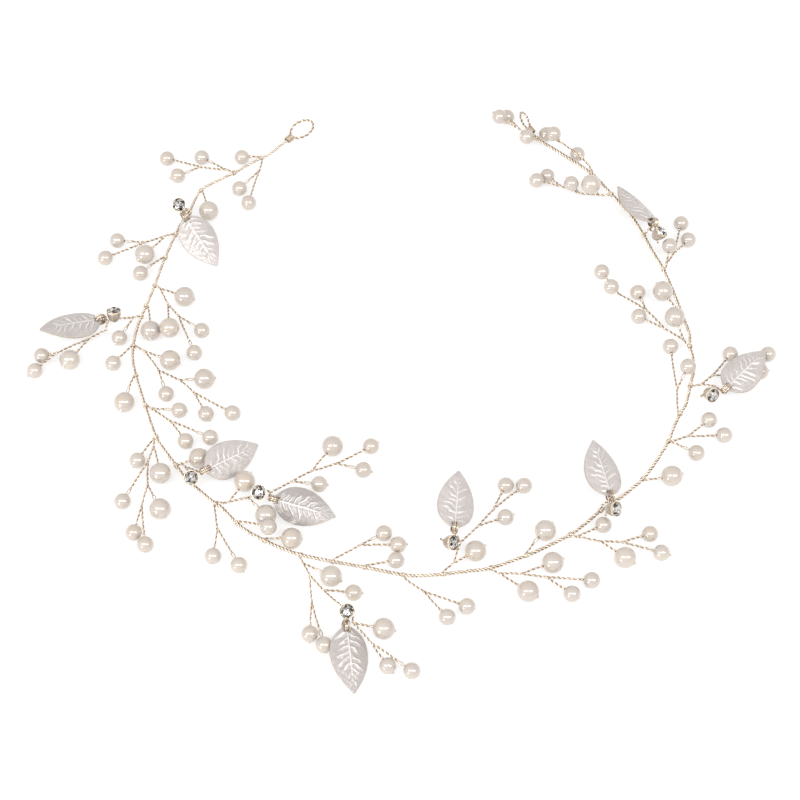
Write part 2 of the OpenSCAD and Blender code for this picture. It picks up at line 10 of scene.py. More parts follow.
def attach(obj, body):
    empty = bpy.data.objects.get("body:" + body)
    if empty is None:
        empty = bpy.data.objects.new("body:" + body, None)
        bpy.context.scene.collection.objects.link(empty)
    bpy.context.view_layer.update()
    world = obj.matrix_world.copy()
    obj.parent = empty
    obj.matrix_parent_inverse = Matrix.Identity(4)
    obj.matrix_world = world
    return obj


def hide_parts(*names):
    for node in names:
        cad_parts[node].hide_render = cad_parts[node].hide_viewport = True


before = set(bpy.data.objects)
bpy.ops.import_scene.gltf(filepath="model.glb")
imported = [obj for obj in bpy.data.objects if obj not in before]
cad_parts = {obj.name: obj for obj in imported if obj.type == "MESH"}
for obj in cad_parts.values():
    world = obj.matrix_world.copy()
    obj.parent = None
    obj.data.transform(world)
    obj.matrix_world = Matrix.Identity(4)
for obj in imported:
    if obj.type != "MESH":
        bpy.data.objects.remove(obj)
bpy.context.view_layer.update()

MM = 0.001

# Sizes of the part's source, in millimetres.
STEM_STEP, STEM_D, STEM_RISE = 10.0, 0.95, 2.5
TWIG_L, TWIG_D, WRAP_GAP = 10.0, 0.5, 0.12
PEARL_R = {"small": 2.125, "large": 2.75}
PEARL_GAP, KNOT_D, KNOT_GAP, CUP_ROOM = 0.12, 0.84, 0.1, 0.06
LEAF_L, LEAF_W, LEAF_T, VEIN_H, VEINS, LEAF_SAG = 16.8, 9.8, 0.6, 0.3, 7, 0.9
TIE_R, TIE_TURNS, TIE_GAP, WRAP_PITCH = 1.35, 3, 0.12, 0.9
STONE_D, CROWN_H, PAVILION_H, TABLE_SHARE, STONE_GAP = 3.4, 0.6, 1.5, 0.58, 0.1
CUP_WALL, CUP_H, CUP_FOOT_D, CUP_DRILL_Z = 0.18, 3.4, 1.2, 0.6
LOOP_D, LOOP_LEFT, LOOP_RIGHT, SLEEVE_L = 0.8, (7.6, 5.2), (5.0, 5.0), 2.2
HOME = Vector((-0.075 * STEM_STEP, 0, 0))

# Single wires, which the source has only as round bars, in millimetres.
STEM_WIRES, STEM_WIRE_R, STEM_LAY, STEM_PITCH = 3, 0.21, 0.255, 3.1
TWIG_WIRE_R, TWIG_LAY, TWIG_PITCH = 0.16, 0.165, 2.6
EYE_WIRE_R, EYE_SHUT, EYE_OPEN, EYE_L = 0.125, 0.11, 0.34, 1.5
TIE_WIRES, TIE_WIRE_R, TIE_SPACING, TIE_POINTS = 6, 0.13, 0.27, 30
LOOP_TURNS, LOOP_POINTS = 7, 96

# Where a twig starts, how deep its pair and the drop of lacquer go into a pearl, the length that a twig
# needs for an open eye, and the share of the longer ones that have it.
TWIG_START, PAIR_IN, DROP_IN, EYE_ROOM, EYE_SHARE = STEM_D / 2 + 0.1, 0.6, 0.2, 2.6, 0.35

# Coils of wire: radius to the wire's middle, radius of the wire, turns, pitch.
SLEEVE_COIL, UNDER_COIL = (0.86, 0.215, 4.6, 0.42), (0.64, 0.13, 5.5, 0.34)
FOOT_COIL, FORK_COIL = (STEM_D / 2 + 0.12, 0.13, 2.6, 0.34), (0.25, 0.125, 1.5, 0.24)
EYE_COIL, PEARL_COIL = (0.24, 0.12, 1.4, 0.22), (0.27, 0.13, 1.7, 0.22)
CUP_COIL_NEAR, CUP_COIL_FAR = (0.2, 0.14, 1.6, 0.22), (0.24, 0.14, 1.8, 0.22)
TIE_COIL = (0.56, 0.13, 4.4, 0.27)

# Worked out from the sizes, as in the source.
HOLE_D = TWIG_D + 2 * PEARL_GAP
WRAP_R = STEM_D / 2 + WRAP_GAP + TWIG_D / 2
WRAP_OUT = WRAP_R + 0.3 * TWIG_D
GIRDLE_R = STONE_D / 2
RIM_R = GIRDLE_R + STONE_GAP + CUP_WALL
FOOT_SHARE = CUP_FOOT_D / 2 / RIM_R
LOOP_PAST, SLEEVE_PAST = LOOP_D / 2 + 0.25, 0.6

# The stem's route on the surface, in steps of STEM_STEP.
ROUTE = [
    (-3.15, 7.93), (-3.45, 7.63), (-3.73, 7.34), (-3.97, 7.2), (-4.35, 6.94), (-4.72, 6.67), (-5.2, 6.38),
    (-5.63, 6.06), (-5.84, 5.55), (-5.92, 5.26), (-6.13, 4.9), (-6.26, 4.54), (-6.5, 3.76), (-6.63, 3.25),
    (-6.73, 2.83), (-6.92, 2.16), (-7.03, 1.82), (-7.14, 1.32), (-7.18, 0.88), (-7.16, 0.43),
    (-7.04, -0.05), (-6.9, -0.48), (-6.73, -0.98), (-6.38, -1.92), (-6.1, -2.36), (-5.8, -2.77),
    (-5.53, -3.15), (-5.13, -3.52), (-4.73, -3.87), (-4.56, -3.99), (-4.16, -4.42), (-3.83, -4.69),
    (-3.44, -4.91), (-3, -5.13), (-2.52, -5.31), (-1.7, -5.5), (-0.89, -5.66), (0.08, -5.87),
    (0.56, -5.89), (1.08, -5.85), (1.7, -5.77), (2.29, -5.68), (3.2, -5.33), (3.75, -5.07), (4.33, -4.75),
    (4.75, -4.42), (5.14, -4.07), (5.6, -3.75), (5.94, -3.47), (6.28, -3.15), (6.66, -2.64), (7.03, -2.03),
    (7.14, -1.74), (7.38, -1.23), (7.56, -0.93), (7.72, -0.36), (7.85, 0.12), (7.86, 0.5), (7.81, 0.87),
    (7.82, 1.28), (7.66, 1.95), (7.5, 2.6), (7.27, 3.36), (7.03, 3.92), (6.8, 4.51), (6.5, 5.17),
    (6.2, 5.62), (5.98, 5.93), (5.73, 6.3), (5.45, 6.66), (4.98, 7.07), (4.5, 7.46), (3.95, 7.9),
    (3.76, 8.23),
]

# Twigs: place in ROUTE, rows of (row it starts from or -1 for the stem, x, y, height, end).
SPRIGS = [
    (3, [(-1, -0.56, 0.06, 0, "small"), (-1, -0.03, -0.43, 0.25, "fork"), (1, -0.58, -1.05, 0, "small"),
         (1, -0.3, -1.55, 0, "small")]),
    (5, [(-1, -0.23, 0.11, 0.25, "fork"), (0, -0.96, 0.58, 0, "small"), (0, -0.98, 0.21, 0.25, "fork"),
         (2, -1.61, -0.07, 0, "small"), (2, -1.95, 0.54, 0, "small")]),
    (9, [(-1, -0.03, 0.02, 0.4, "fork"), (0, -0.15, -0.22, 0.58, "tie"), (0, -0.26, 0.18, 0.36, "cup")]),
    (11, [(-1, -0.27, -0.04, 0.25, "fork"), (0, -0.81, -0.69, 0, "large"), (0, -0.84, -0.27, 0.25, "fork"),
         (2, -1.62, -0.18, 0, "small"), (2, -1.91, -0.77, 0, "small")]),
    (14, [(-1, 0.15, -0.1, 0.25, "fork"), (0, 0.84, -0.38, 0, "large"), (0, 0.4, -0.61, 0.25, "fork"),
         (2, 0.52, -1.52, 0.21, "large"), (2, 0.72, -1.03, 0.3, "fork"), (4, 1.36, -1.43, 0, "small"),
         (4, 1.2, -2.14, 0, "small")]),
    (16, [(-1, -0.21, -0.04, 0.28, "fork"), (0, -0.55, -0.66, 0, "small"), (0, -0.69, -0.22, 0.44, "cup"),
         (2, -0.92, -0.47, 0.3, "fork"), (2, -0.95, -0.13, 0.36, "tie"), (3, -1.37, -0.72, 0.25, "fork"),
         (5, -1.82, -1.39, 0, "large"), (5, -2.2, -1.2, 0.3, "fork"), (7, -2.6, -1.22, 0, "small"),
         (7, -2.74, -1.69, 0, "small")]),
    (18, [(-1, -0.51, -0.52, 0, "small"), (-1, 0.29, -0.15, 0.25, "fork"), (1, 1.02, -0.46, 0, "large"),
         (1, 0.73, -0.76, 0.25, "fork"), (3, 0.97, -1.47, 0, "small"), (3, 1.3, -1.06, 0.25, "fork"),
         (5, 1.97, -1.04, 0, "large"), (5, 1.7, -1.44, 0.25, "fork"), (7, 2.06, -2.08, 0, "small"),
         (7, 2.76, -2.05, 0, "small")]),
    (22, [(-1, 0.13, -0.06, 0.25, "fork"), (0, 0.9, -0.11, 0, "small"), (0, 0.67, -0.45, 0.25, "fork"),
         (2, 1.12, -1.04, 0, "small"), (2, 1.76, -0.93, 0, "small")]),
    (23, [(-1, -0.45, -0.67, 0, "small"), (-1, -0.05, -0.28, 0.25, "fork"), (1, 0.18, -1.08, 0, "large"),
         (1, -0.16, -0.71, 0.25, "fork"), (3, -0.75, -1.86, 0, "small"), (3, -0.13, -1.41, 0.25, "fork"),
         (5, 0.24, -2.11, 0, "large"), (5, -0.24, -2, 0.25, "fork"), (7, -0.4, -2.75, 0, "small"),
         (7, -0.08, -3.09, 0, "small")]),
    (25, [(-1, 0.12, 0.07, 0.25, "fork"), (0, 0.58, 0.2, 0, "large"), (0, 0.25, -0.13, 0.46, "fork"),
         (2, 0.38, -0.47, 0.49, "cup"), (2, 0.7, -0.42, 0.68, "tie")]),
    (28, [(-1, 0.07, -0.68, 0.25, "fork"), (0, 0, -1.46, 0, "small"), (0, 0.67, -1.71, 0, "small"),
         (-1, 0.21, -0.03, 0.34, "fork"), (3, 0.34, 0.02, 0.3, "fork"), (4, 0.73, 0.58, 0.1, "large"),
         (4, 0.83, 0.14, 0.32, "fork"), (6, 1.3, -0.34, 0, "large"), (6, 1.1, 0.25, 0.38, "cup"),
         (8, 1.41, 0.25, 0.4, "fork"), (9, 1.38, 0.08, 0.43, "tie"), (9, 1.94, 0.59, 0.35, "fork"),
         (11, 2.65, 0.48, 0.2, "small"), (11, 2.45, 0.92, 0.3, "fork"), (13, 2.97, 1.67, 0, "large"),
         (13, 3.09, 1.17, 0.25, "fork"), (15, 3.97, 1.7, 0, "small"), (15, 3.78, 1, 0, "small")]),
    (34, [(-1, 0.08, -0.24, 0.25, "fork"), (0, 0.79, -0.61, 0, "large"), (0, 0.25, -0.58, 0.28, "fork"),
         (2, 0.32, -1.29, 0.25, "fork"), (3, 0.29, -2.14, 0, "small"), (3, 0.65, -2.43, 0, "small"),
         (2, 0.61, -1.01, 0.32, "fork"), (6, 1.36, -1.03, 0, "small"), (6, 1.22, -1.61, 0.46, "cup"),
         (8, 1.18, -1.88, 0.42, "tie"), (8, 1.36, -1.98, 0.54, "fork"), (10, 2.12, -2.07, 0.1, "large"),
         (10, 1.82, -2.5, 0.5, "fork"), (12, 2.22, -2.98, 0, "small"), (12, 2.81, -3.11, 0, "small")]),
    (35, [(-1, 0.67, 0.45, 0.25, "fork"), (0, 1.29, 0.81, 0, "small"), (0, 1.65, 0.49, 0, "small")]),
    (37, [(-1, 0.52, -0.46, 0.25, "fork"), (0, 1.09, -1.13, 0, "small"), (0, 1.59, -0.84, 0, "small")]),
    (39, [(-1, 0.27, 0.3, 0.25, "fork"), (0, 0.83, 0.63, 0, "large"), (0, 0.4, 0.72, 0.3, "fork"),
         (2, 0.08, 0.78, 0.48, "cup"), (2, 0.45, 0.85, 0.32, "fork"), (4, 0.3, 1.1, 0.4, "tie"),
         (4, 0.9, 1.32, 0.28, "fork"), (6, 1.62, 1.61, 0, "small"), (6, 1.3, 1.8, 0.25, "fork"),
         (8, 1.65, 2.53, 0, "small"), (8, 2.12, 2.52, 0, "small")]),
    (41, [(-1, 0.21, -0.15, 0.25, "fork"), (0, 0.91, -0.65, 0, "large"), (0, 0.77, -0.16, 0.25, "fork"),
         (2, 1.56, 0.14, 0, "large"), (2, 1.39, -0.25, 0.25, "fork"), (4, 2.01, -0.69, 0, "small"),
         (4, 2.52, -0.32, 0, "small")]),
    (44, [(-1, 0.17, -0.05, 0.25, "fork"), (0, 0.86, 0.29, 0, "small"), (0, 0.76, -0.19, 0.25, "fork"),
         (2, 1.35, -0.65, 0, "large"), (2, 1.3, -0.21, 0.25, "fork"), (4, 2.03, 0.04, 0, "small"),
         (4, 2.29, -0.49, 0, "small")]),
    (46, [(-1, 0.03, 0.1, 0.38, "fork"), (0, 0.2, 0.15, 0.51, "fork"), (1, 0.16, -0.08, 0.53, "cup"),
         (1, 0.28, 0.18, 0.48, "tie")]),
    (51, [(-1, 0.7, -0.34, 0, "small"), (-1, 0.51, 0.14, 0.25, "fork"), (1, 1.11, 0.65, 0, "small"),
         (1, 1.47, 0.19, 0, "small")]),
    (53, [(-1, -0.02, 0.77, 0.25, "fork"), (0, -0.09, 2.12, 0, "small"), (0, 0.29, 1.34, 0.25, "small")]),
    (55, [(-1, 0.3, 0.01, 0.3, "fork"), (0, 0.61, 0.3, 0.28, "fork"), (1, 1.16, 1.01, 0, "small"),
         (1, 1.13, 0.36, 0.2, "fork"), (3, 2.17, 1.01, 0, "small"), (3, 1.92, 0.46, 0, "small"),
         (0, 0.6, -0.16, 0.5, "fork"), (6, 0.77, -0.4, 0.63, "tie"), (6, 0.38, -0.34, 0.49, "cup")]),
    (58, [(-1, -0.15, 0.19, 0.26, "fork"), (0, -0.38, 0.79, 0.2, "large"), (0, -0.63, 0.55, 0.25, "fork"),
         (2, -1.31, 0.98, 0, "small"), (2, -1.11, 1.1, 0.34, "fork"), (4, -1.29, 1.76, 0, "small"),
         (4, -1.81, 1.71, 0.2, "fork"), (6, -2.04, 1.78, 0.25, "small"), (6, -2.24, 2.44, 0, "small")]),
    (62, [(-1, 0.08, 0.14, 0.28, "fork"), (0, 0.19, 0.66, 0.23, "small"), (0, 0.33, 0.54, 0.25, "fork"),
         (2, 0.61, 1.58, 0, "small"), (2, 0.77, 1.02, 0, "small")]),
    (64, [(-1, 0.14, 0.09, 0.44, "fork"), (0, 0.3, 0.07, 0.62, "tie"), (0, 0.27, -0.24, 0.5, "cup")]),
    (67, [(-1, -0.35, -0.01, 0.22, "fork"), (0, -0.6, 0.13, 0.25, "large"), (0, -0.9, 0.06, 0.2, "fork"),
         (2, -1.14, 0.21, 0.25, "small"), (2, -1.4, 0.3, 0.2, "fork"), (4, -1.79, 0.66, 0, "small"),
         (4, -2.11, 0.39, 0.15, "small")]),
    (69, [(-1, -0.09, 0.29, 0.3, "fork"), (0, -0.36, 0.71, 0, "small"), (0, -0.32, 0.46, 0.46, "fork"),
         (2, -0.79, 0.94, 0.4, "fork"), (3, -1.05, 1.17, 0.35, "small"), (3, -1.23, 1.43, 0, "small")]),
    (72, [(-1, -0.31, -0.08, 0.22, "small"), (-1, -0.49, 0.33, 0.25, "fork"), (1, -0.84, 0.83, 0, "small"),
         (1, -1.08, 0.59, 0.3, "small")]),
]
# Twigs with one pearl each.
SINGLES = [
    (7, [(-1, 0.25, -0.73, 0, "large")]),
    (12, [(-1, -0.66, -0.5, 0, "small")]),
    (15, [(-1, 0.18, -0.81, 0, "large")]),
    (20, [(-1, -0.25, -0.83, 0, "large")]),
    (30, [(-1, 0.83, -0.23, 0.28, "small")]),
    (32, [(-1, 0.69, 0.04, 0, "large")]),
    (36, [(-1, 0.79, 0.21, 0, "small")]),
    (42, [(-1, 0.5, 0.69, 0, "large")]),
    (49, [(-1, 0.75, 0.07, 0, "large")]),
    (60, [(-1, -0.49, 0.58, 0.15, "large")]),
]
TWIGS = SPRIGS + SINGLES

# Leaves: sprig, row of the tie, heading, rise to the tip, roll (degrees).
LEAVES = [
    (2, 1, -56, -13, 10), (5, 4, 201, 16, 12), (9, 4, 37, -14, 27), (10, 10, -21, 7, 25),
    (11, 9, -82, -7, -16), (14, 5, 85, -2, 15), (17, 3, 102, 0, 15), (20, 7, 46, -2, 4),
    (23, 1, 120, -7, 33),
]

# How bright each leaf's silver is, 0 to 1: painted shade, lowest on the leaves that mirror the overhead
# softboxes.
LEAF_SILVER_SHADE = (0.9, 0.8, 0.95, 0.4, 0.7, 0.95, 0.95, 0.9, 0.9)

# Cups: sprig, row, heading and height of the stone's face (degrees).
CUPS = [
    (2, 2, -90, 60), (5, 2, 90, 60), (9, 3, -58, 56), (10, 8, -77, 64), (11, 8, -90, 60), (14, 3, -27, 38),
    (17, 2, -27, 38), (20, 8, -57, 34), (23, 2, 22, 48),
]

# Outline of a leaf: share of its length, share of its half width.
LEAF_OUTLINE = [
    (0, 0.16), (0.04, 0.36), (0.09, 0.58), (0.16, 0.79), (0.26, 0.94), (0.4, 1), (0.55, 0.94), (0.7, 0.76),
    (0.84, 0.48), (0.94, 0.22), (1, 0.05),
]


# Places on the stem, the twigs, the cups and the leaves, as in the part's source.
def across(v, n):
    """The part of v that is square to n."""
    return v - n * v.dot(n)


def facing(heading, height):
    """Direction with a heading from +X and a height over the surface, in degrees."""
    a, e = math.radians(heading), math.radians(height)
    return Vector((math.cos(a) * math.cos(e), math.sin(a) * math.cos(e), math.sin(e)))


def stem_at(k):
    return HOME + Vector((ROUTE[k][0] * STEM_STEP, ROUTE[k][1] * STEM_STEP, STEM_RISE))


def stem_dir(k):
    return (stem_at(min(k + 1, len(ROUTE) - 1)) - stem_at(max(k - 1, 0))).normalized()


def row_at(q, i):
    """Where a row of a twig ends: a pearl's or cup's middle, a fork or a tie."""
    _, x, y, h, end = TWIGS[q][1][i]
    foot = stem_at(TWIGS[q][0])
    return Vector((foot.x + x * TWIG_L, foot.y + y * TWIG_L, PEARL_R.get(end, 0) + h * TWIG_L))


def start_at(q, i):
    """Where a row starts: at the eye round the stem, past a cup's foot, or at the row before it."""
    j = TWIGS[q][1][i][0]
    if j < 0:
        foot = stem_at(TWIGS[q][0])
        return foot + WRAP_OUT * across(row_at(q, i) - foot, stem_dir(TWIGS[q][0])).normalized()
    if TWIGS[q][1][j][4] == "cup":
        return row_at(q, j) + CUP_OUT * cup_dir(q, j)
    return row_at(q, j)


def row_dir(q, i):
    return (row_at(q, i) - start_at(q, i)).normalized()


def cup_face(q, i):
    return next(facing(c[2], c[3]) for c in CUPS if (c[0], c[1]) == (q, i))


def cup_dir(q, i):
    """The way that the wire runs through a cup's foot."""
    return across(row_dir(q, i), cup_face(q, i)).normalized()


def bowl_r(z):
    """Outer radius of a cup at a height over its foot."""
    return RIM_R * math.sqrt(max(0, 1 - (1 - z / CUP_H) ** 2 * (1 - FOOT_SHARE**2)))


CUP_OUT = bowl_r(CUP_DRILL_Z + KNOT_D / 4) + KNOT_D / 2 + CUP_ROOM


def knot_at(end):
    """How far the knots sit from the middle of a pearl."""
    hole = HOLE_D**2 / 4
    return math.sqrt(PEARL_R[end] ** 2 - hole) + math.sqrt((KNOT_D / 2 + KNOT_GAP) ** 2 - hole)


def leaf_place(n):
    """Frame of a leaf, with its base at the tie and its X along the midrib."""
    sprig, row, heading, rise, roll = LEAVES[n]
    base = row_at(sprig, row) + TIE_R * facing(heading, rise)
    turn = Matrix.Rotation(math.radians(heading), 4, "Z") @ Matrix.Rotation(-math.radians(rise), 4, "Y")
    return Matrix.Translation(base) @ turn @ Matrix.Rotation(math.radians(roll), 4, "X")


def upright(at, way):
    """Frame with its Z along way, as the source turns its beads and cups."""
    lean = math.acos(max(-1, min(1, way.z)))
    turn = Matrix.Rotation(math.atan2(way.y, way.x), 4, "Z") @ Matrix.Rotation(lean, 4, "Y")
    return Matrix.Translation(at) @ turn


class Piece:
    """Points and faces of one piece in millimetres, a finish number per face and a tint per point."""

    def __init__(self, name):
        self.name = name
        self.points, self.faces, self.finish_of, self.tints = [], [], [], []

    def add(self, points, faces, finish=0, tint=0.0):
        start = len(self.points)
        self.points += [tuple(p) for p in points]
        self.tints += list(tint) if isinstance(tint, (list, tuple)) else [tint] * len(points)
        self.faces += [tuple(start + i for i in face) for face in faces]
        self.finish_of += [finish] * len(faces)

    def make(self, finishes, replaces, smooth=True):
        mesh = bpy.data.meshes.new(self.name)
        mesh.from_pydata([(x * MM, y * MM, z * MM) for x, y, z in self.points], [], self.faces)
        mesh.attributes.new("tint", "FLOAT", "POINT").data.foreach_set("value", self.tints)
        for finish in finishes:
            mesh.materials.append(finish)
        mesh.polygons.foreach_set("material_index", self.finish_of)
        mesh.polygons.foreach_set("use_smooth", [smooth] * len(mesh.polygons))
        made = bpy.data.objects.new(self.name, mesh)
        bpy.context.scene.collection.objects.link(made)
        mesh.update()
        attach(made, "root")
        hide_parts(*replaces)
        return made


# Wire.
def frames_along(path, closed=False):
    """Way, side and up at each point of a path, with the side turned as little as possible."""
    count = len(path)
    ways = []
    for k in range(count):
        a = path[k - 1] if k or closed else path[0]
        b = path[(k + 1) % count] if k < count - 1 or closed else path[-1]
        ways.append((b - a).normalized())
    side = ways[0].cross(Vector((0, 0, 1)))
    side = side.normalized() if side.length > 1e-3 else Vector((1, 0, 0))
    frames = []
    for way in ways:
        side = across(side, way).normalized()
        frames.append((way, side, way.cross(side)))
    return frames


def strand(piece, path, r, sides=6, closed=False, taper=False, tint=0.0, core=None):
    """One round wire along a path. Its tint goes dark on the side that looks to the core line: painted
    shade between the wires of a twist or coil.
    """
    frames = frames_along(path, closed)
    rings, points, tints = len(path), [], []
    for k, (at, (_, side, up)) in enumerate(zip(path, frames)):
        shrink = 0.55 if taper and k in (0, rings - 1) else 1.0
        away = (at - core[k]).normalized() if core else None
        for j in range(sides):
            a = 2 * math.pi * j / sides
            out = math.cos(a) * side + math.sin(a) * up
            points.append(at + r * shrink * out)
            # Painted shade: the tint falls off towards the core line.
            tints.append(tint * max(0, 0.5 + 0.5 * away.dot(out)) ** 1.2 if core else tint)
    spans = rings if closed else rings - 1
    faces = []
    for k in range(spans):
        a, b = k * sides, (k + 1) % rings * sides
        for j in range(sides):
            i = (j + 1) % sides
            faces.append((a + j, a + i, b + i, b + j))
    if not closed:
        faces.append(tuple(reversed(range(sides))))
        faces.append(tuple((rings - 1) * sides + j for j in range(sides)))
    piece.add(points, faces, 0, tints)


def rounded(places, step):
    """Points along a smooth curve through the places."""
    ends = [2 * places[0] - places[1]] + places + [2 * places[-1] - places[-2]]
    out = [places[0].copy()]
    for p0, p1, p2, p3 in zip(ends, ends[1:], ends[2:], ends[3:]):
        count = max(1, round((p2 - p1).length / step))
        for n in range(1, count + 1):
            t = n / count
            out.append(0.5 * (2 * p1 + (p2 - p0) * t + (2 * p0 - 5 * p1 + 4 * p2 - p3) * t * t
                              + (3 * p1 - p0 - 3 * p2 + p3) * t**3))
    return out


def twisted(piece, path, strands, offset, r, pitch, phase=0.0, sides=6, spread=None, tints=(0.0,)):
    """Strands of wire turned round each other along a path. spread widens them by share of its length."""
    frames = frames_along(path)
    length, lengths = 0.0, [0.0]
    for a, b in zip(path, path[1:]):
        length += (b - a).length
        lengths.append(length)
    for s in range(strands):
        turned_path = []
        for at, (_, side, up), run in zip(path, frames, lengths):
            a = phase + 2 * math.pi * (run / pitch + s / strands)
            out = offset * (spread(run / length) if spread else 1)
            turned_path.append(at + out * (math.cos(a) * side + math.sin(a) * up))
        strand(piece, turned_path, r, sides, taper=True, tint=tints[s % len(tints)], core=path)


def wound(piece, at, way, coil_r, r, turns, pitch, phase=0.0, sides=6, steps=16, tint=0.9):
    """Turns of wire round a line through at, side by side."""
    frame_at = upright(at, way)
    count = max(4, round(turns * steps))
    path, core = [], []
    for k in range(count + 1):
        a = phase + 2 * math.pi * k / steps
        z = (k / count - 0.5) * turns * pitch
        path.append(frame_at @ Vector((coil_r * math.cos(a), coil_r * math.sin(a), z)))
        core.append(frame_at @ Vector((0, 0, z)))
    strand(piece, path, r, sides, taper=True, tint=tint, core=core)


# Finishes.
class Level:
    """A socket of a finish, used as a number in Python expressions."""

    def __init__(self, finish, socket):
        self.finish, self.socket = finish, socket

    def maths(self, operation, *values):
        return self.finish.node("ShaderNodeMath", {"operation": operation}, *values)

    def __add__(self, other):
        return self.maths("ADD", self, other)

    def __radd__(self, other):
        return self.maths("ADD", other, self)

    def __sub__(self, other):
        return self.maths("SUBTRACT", self, other)

    def __rsub__(self, other):
        return self.maths("SUBTRACT", other, self)

    def __mul__(self, other):
        return self.maths("MULTIPLY", self, other)

    def __rmul__(self, other):
        return self.maths("MULTIPLY", other, self)

    def __pow__(self, other):
        return self.maths("POWER", self, other)

    def held(self, low, high):
        """This level from low to high, made 0 to 1 and kept there."""
        return self.finish.node("ShaderNodeMapRange", {}, self, low, high, 0.0, 1.0)


class Finish:
    """One material and the nodes it is made of."""

    def __init__(self, name):
        self.material = bpy.data.materials.new(name)
        self.material.use_nodes = True
        self.tree = self.material.node_tree
        self.tree.nodes.clear()

    def node(self, kind, settings, *inputs, out=0, **named):
        made = self.tree.nodes.new(kind)
        for key, value in settings.items():
            if key == "stops":
                ramp = made.color_ramp
                while len(ramp.elements) < len(value):
                    ramp.elements.new(0.5)
                for element, (place, colour) in zip(ramp.elements, value):
                    element.position, element.color = place, (*colour, 1.0)
            else:
                setattr(made, key, value)
        sockets = list(enumerate(inputs)) + [(k.replace("_", " "), v) for k, v in named.items()]
        for key, value in sockets:
            if value is None:
                continue
            if isinstance(value, Level):
                self.tree.links.new(value.socket, made.inputs[key])
            else:
                colour = isinstance(value, tuple) and made.inputs[key].type == "RGBA"
                made.inputs[key].default_value = (*value, 1.0) if colour else value
        return Level(self, made.outputs[out])

    def place(self):
        return self.node("ShaderNodeTexCoord", {}, out="Object")

    def cloud(self, scale, detail=2.0, rough=0.5):
        return self.node("ShaderNodeTexNoise", {}, Vector=self.place(), Scale=scale, Detail=detail,
                         Roughness=rough, out="Fac")

    def tint(self, name="tint"):
        return self.node("ShaderNodeAttribute", {"attribute_name": name}, out="Fac")

    def mixed(self, share, one, other):
        number_sockets = (None,) * 5
        return self.node("ShaderNodeMix", {"data_type": "RGBA"}, share, *number_sockets, one, other, out=2)

    def bump(self, height, strength, distance):
        return self.node("ShaderNodeBump", {}, Height=height, Strength=strength, Distance=distance)

    def body(self, **named):
        return self.node("ShaderNodeBsdfPrincipled", {}, **named)

    def done(self, shader):
        end = self.tree.nodes.new("ShaderNodeOutputMaterial")
        self.tree.links.new(shader.socket, end.inputs["Surface"])
        return self.material


def gold_wire(name, deep, light, rough):
    """Drawn champagne gilt wire, lighter in worn patches and bright on its crowns; painted shade turns it
    brown on the sides of the wires that face the core of their twist or coil.
    """
    f = Finish(name)
    patches = f.cloud(260.0, 3.0, 0.6)
    worn = patches.held(0.35, 0.68)
    drawn = f.cloud(2600.0)
    crown = f.tint()
    # Painted shade: where the tint is low, on the sides facing the core, the colour goes to the deep brown.
    colour = f.mixed(crown * (0.82 + worn * 0.3), deep, light)
    return f.done(f.body(Base_Color=colour, Metallic=0.9, Roughness=rough - 0.08 + drawn * 0.16,
                         Normal=f.bump(drawn, 0.12, 0.00003)))


def pearl_lacquer():
    """Cream pearl lacquer over a bead, pinker in patches, with more of its shine towards the rim."""
    f = Finish("pearl_lacquer")
    veil = f.cloud(190.0, 2.0, 0.45)
    skin = f.cloud(2400.0, 2.0, 0.5)
    cream = f.mixed(f.tint(), (0.49, 0.415, 0.335), (0.51, 0.455, 0.39))
    colour = f.mixed(veil.held(0.3, 0.75), cream, (0.46, 0.405, 0.38))
    under = f.bump(skin, 0.03, 0.00001)
    bead = f.body(Base_Color=colour, Metallic=0.0, Roughness=0.30 + veil * 0.08, IOR=1.5, Coat_Weight=1.0,
                  Coat_Roughness=0.015, Coat_IOR=1.9, Sheen_Weight=0.0, Normal=under)
    shine = f.body(Base_Color=(0.74, 0.62, 0.48), Metallic=1.0, Roughness=0.08, Normal=under)
    edge = f.node("ShaderNodeLayerWeight", {}, 0.35, out="Facing")
    return f.done(f.node("ShaderNodeMixShader", {}, 0.07 + edge ** 2.0 * 0.38, bead, shine))


def leaf_satin():
    """Silver-lilac satin foil with a thin warm edge; painted shade darkens its hollows and a painted
    highlight brightens its veins.
    """
    f = Finish("leaf_satin")
    rub = f.cloud(330.0, 3.0, 0.6)
    grain = f.cloud(1000.0, 4.0, 0.6)
    crown = f.tint("crown")
    bright = f.mixed(rub.held(0.3, 0.7), (0.53, 0.485, 0.465), (0.61, 0.565, 0.545))
    # The tint darkens each leaf's silver as painted shade, per leaf.
    silver = f.mixed(f.tint(), (0.25, 0.23, 0.22), bright)
    # Painted shade in the hollows and a painted highlight on the veins, both from the relief in the crown
    # attribute.
    hollow_painted_shade = f.mixed(crown.held(-0.35, 0.05), (0.26, 0.235, 0.22), silver)
    vein_painted_highlight = f.mixed(crown.held(0.35, 0.9), hollow_painted_shade, (0.78, 0.755, 0.74))
    colour = f.mixed(f.tint("edge").held(0.55, 1.0), vein_painted_highlight, (0.46, 0.38, 0.30))
    return f.done(f.body(Base_Color=colour, Metallic=0.25, Roughness=0.24 + rub * 0.14, Coat_Weight=0.08,
                         Coat_Roughness=0.2, Normal=f.bump(grain, 0.6, 0.00012)))


def cup_enamel():
    """Pearly warm coat of the cups over bright metal."""
    f = Finish("cup_enamel")
    flow = f.cloud(420.0, 2.0, 0.5)
    colour = f.mixed(flow.held(0.3, 0.7), (0.34, 0.275, 0.22), (0.43, 0.37, 0.31))
    return f.done(f.body(Base_Color=colour, Metallic=0.55, Roughness=0.14 + flow * 0.12, Coat_Weight=0.8,
                         Coat_Roughness=0.06, Normal=f.bump(flow, 0.08, 0.00004)))


